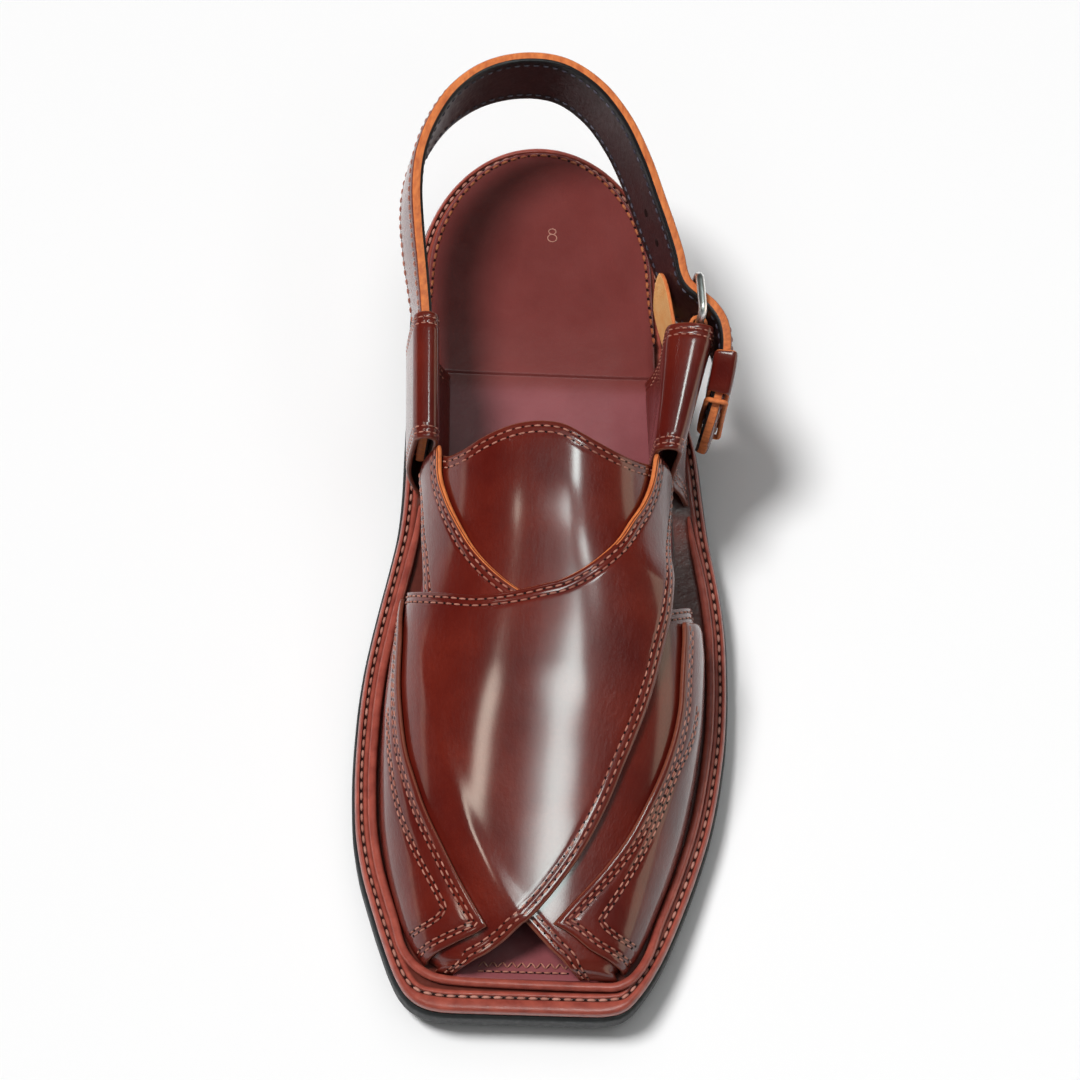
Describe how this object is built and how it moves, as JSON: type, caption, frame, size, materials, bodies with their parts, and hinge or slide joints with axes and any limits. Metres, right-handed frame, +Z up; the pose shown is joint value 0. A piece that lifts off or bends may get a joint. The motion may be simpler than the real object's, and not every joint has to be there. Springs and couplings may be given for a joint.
{
  "type": "peshawari chappal",
  "caption": "Left-foot leather sandal with crossed vamp panels, side wings, a tongue, a welted sole with a low heel and a buckled heel strap.",
  "frame": {"origin": "middle of the shoe's outer box, on the floor that heel and forefoot stand on", "axes": "+Z up, -Y towards the toe, +X towards the outer side of the foot"},
  "size_m": [0.1145, 0.2906, 0.0801],
  "materials": {
    "sole_rubber": "matte black moulded rubber",
    "welt_leather": "waxed red-brown leather edge",
    "upper_leather": "glazed dark red-brown leather",
    "strap_leather": "glazed dark red-brown leather with raw orange edges",
    "sock_leather": "smooth brown sock leather",
    "flesh_leather": "napped tan flesh side",
    "lining_leather": "thin dark lining leather",
    "buckle_metal": "bright plated wire",
    "thread": "waxed pink-tan thread"
  },
  "bodies": {
    "root": {"outsole": "sole_rubber", "heel_block": "sole_rubber", "midsole": "welt_leather", "rand_bead": "welt_leather", "insole": "sock_leather", "tongue": "upper_leather", "under_panel": "upper_leather", "over_panel": "upper_leather", "inner_wing": "upper_leather", "outer_wing": "upper_leather", "inner_sleeve": "upper_leather", "outer_sleeve": "upper_leather", "heel_strap": "strap_leather", "buckle_strap": "strap_leather", "keeper": "strap_leather", "keeper_lace": "strap_leather", "buckle_flap": "flesh_leather", "buckle_frame": "buckle_metal", "buckle_prong": "buckle_metal"}
  },
  "joints": []
}
